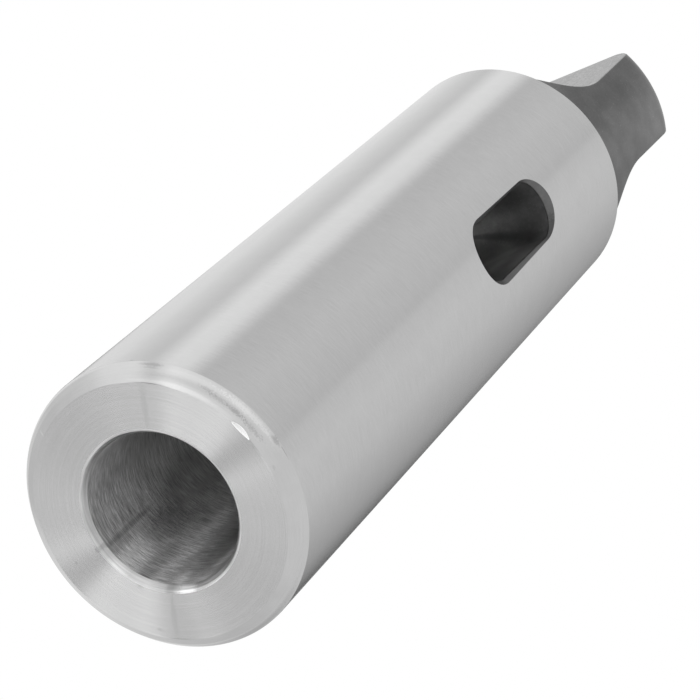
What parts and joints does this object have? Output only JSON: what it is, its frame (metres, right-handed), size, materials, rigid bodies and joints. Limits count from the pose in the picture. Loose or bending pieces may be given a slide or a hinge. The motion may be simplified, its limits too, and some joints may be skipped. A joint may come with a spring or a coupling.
{
  "type": "morse taper sleeve",
  "caption": "Tapered steel reducing sleeve with a round taper socket in its wide end, a crosswise slot to knock the tool out, and a flat tang at its narrow end.",
  "frame": {"origin": "centre of the socket face, on which the sleeve stands", "axes": "+Z along the axis from the socket face to the tang, Y through the drift slot, X square to the flats of the tang"},
  "size_m": [0.0446, 0.0446, 0.156],
  "materials": {
    "steel": "ground satin on the taper, faced with fine turning rings at the socket end, scored in the socket, dark unground skin on the tang and in the slot"
  },
  "bodies": {
    "root": {"sleeve": "steel"}
  },
  "joints": []
}
